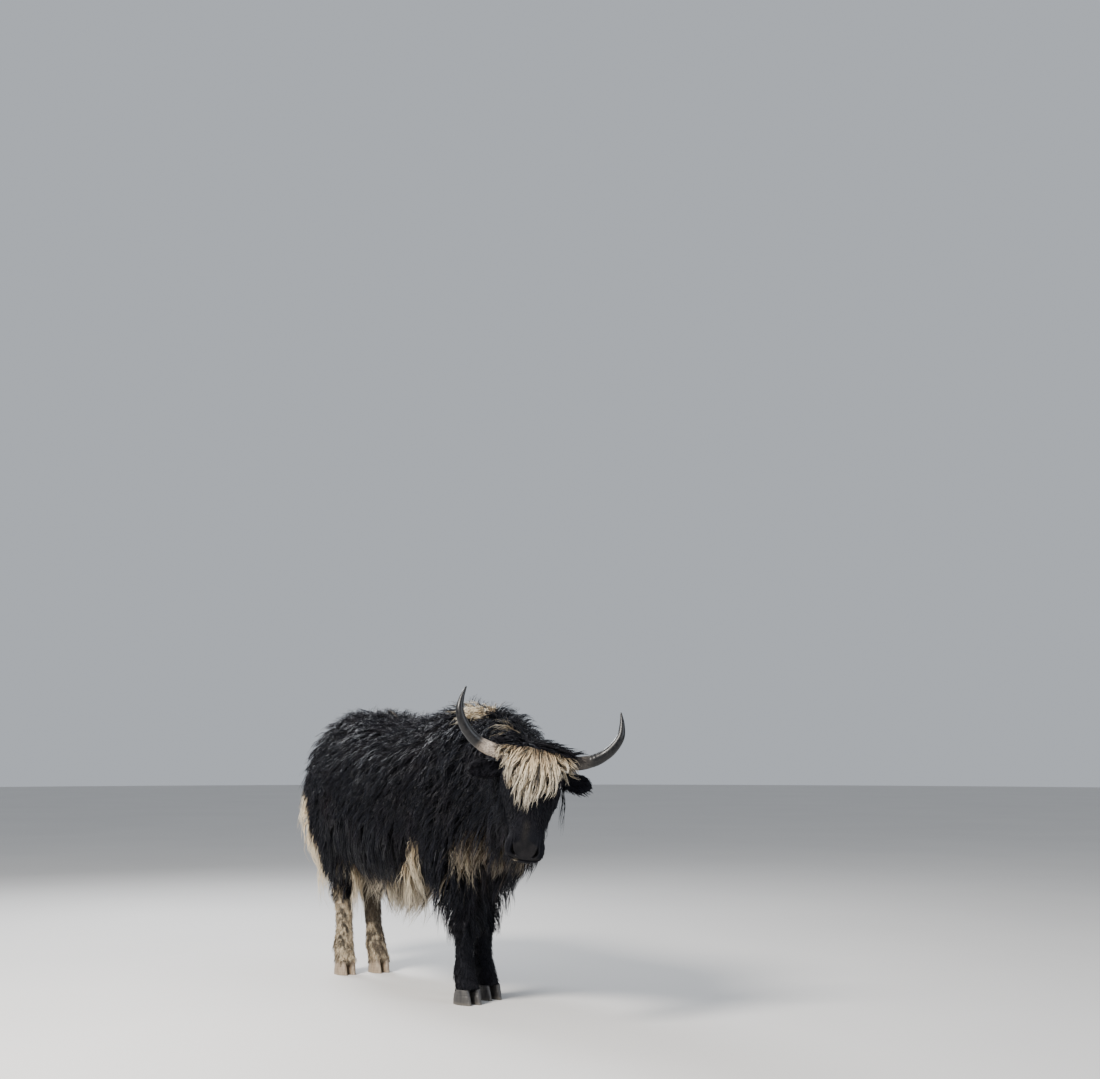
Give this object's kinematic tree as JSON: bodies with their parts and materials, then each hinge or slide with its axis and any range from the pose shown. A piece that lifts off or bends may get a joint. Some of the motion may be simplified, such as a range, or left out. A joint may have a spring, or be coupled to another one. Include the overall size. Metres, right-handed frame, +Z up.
{
  "type": "domestic yak",
  "caption": "Standing domestic yak with a long shaggy black coat, cream forelock, belly fringe and hind legs, upswept horns, and head turned to its right.",
  "frame": {"origin": "on the floor under the soles, at the centre of the bounding box's bottom", "axes": "+X the way the body faces, +Y the animal's left side, +Z up"},
  "size_m": [2.4644, 0.7814, 1.4116],
  "materials": {
    "black_coat": "long coarse hair",
    "cream_coat": "long coarse hair",
    "horn": "satin horn",
    "hoof": "dull, worn horn",
    "eye": "wet, glossy"
  },
  "bodies": {
    "root": {"horn_left": "horn", "ear_left": "black_coat", "eye_left": "eye", "horn_right": "horn", "ear_right": "black_coat", "eye_right": "eye", "tail": "cream_coat", "foreleg_right_upper": "black_coat", "foreleg_right_lower": "black_coat", "foreleg_right_claw_left": "hoof", "foreleg_right_claw_right": "hoof", "foreleg_left_upper": "black_coat", "foreleg_left_lower": "black_coat", "foreleg_left_claw_left": "hoof", "foreleg_left_claw_right": "hoof", "hindleg_right_upper": "cream_coat", "hindleg_right_lower": "cream_coat", "hindleg_right_claw_left": "hoof", "hindleg_right_claw_right": "hoof", "hindleg_left_upper": "cream_coat", "hindleg_left_lower": "cream_coat", "hindleg_left_claw_left": "hoof", "hindleg_left_claw_right": "hoof", "torso_rear": "black_coat", "torso_middle": "black_coat", "torso_front": "black_coat", "neck": "black_coat", "head": "black_coat"}
  },
  "joints": []
}
